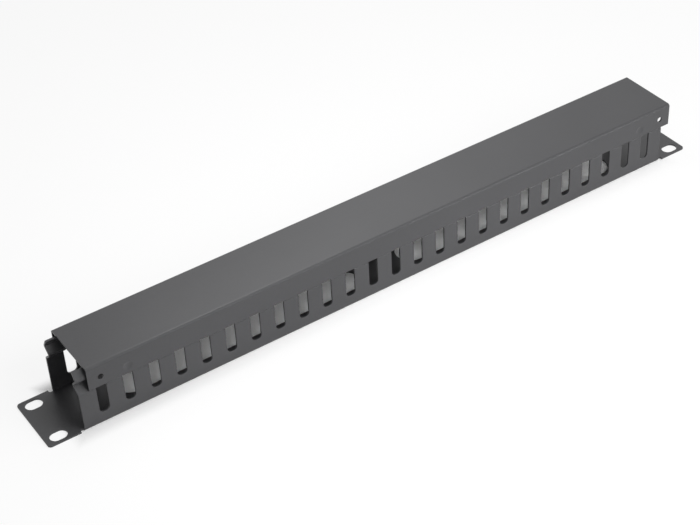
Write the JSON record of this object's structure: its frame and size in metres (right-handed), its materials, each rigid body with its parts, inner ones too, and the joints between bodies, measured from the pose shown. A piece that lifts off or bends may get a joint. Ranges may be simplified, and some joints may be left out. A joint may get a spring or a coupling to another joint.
{
  "type": "horizontal cable manager",
  "caption": "Rack-mount cable manager: a folded steel plate with rack ears, slotted comb walls and a clip-on channel cover that slides along the fingers.",
  "frame": {"origin": "middle of the back plate's rear face, which bolts against the rack rails", "axes": "+X along the plate, +Y across it, one rack unit wide, +Z out of the plate through the cover"},
  "size_m": [0.4826, 0.0434, 0.0436],
  "materials": {
    "base_powder_coat": "satin black powder coat on folded steel sheet",
    "cover_powder_coat": "satin black powder coat on folded steel sheet"
  },
  "bodies": {
    "base": {"base": "base_powder_coat"},
    "cover": {"cover": "cover_powder_coat"}
  },
  "joints": [
    {"name": "cover_slide", "type": "slide", "parent": "base", "child": "cover", "axis": [1, 0, 0], "range_m": [-0.442, 0.43]}
  ]
}
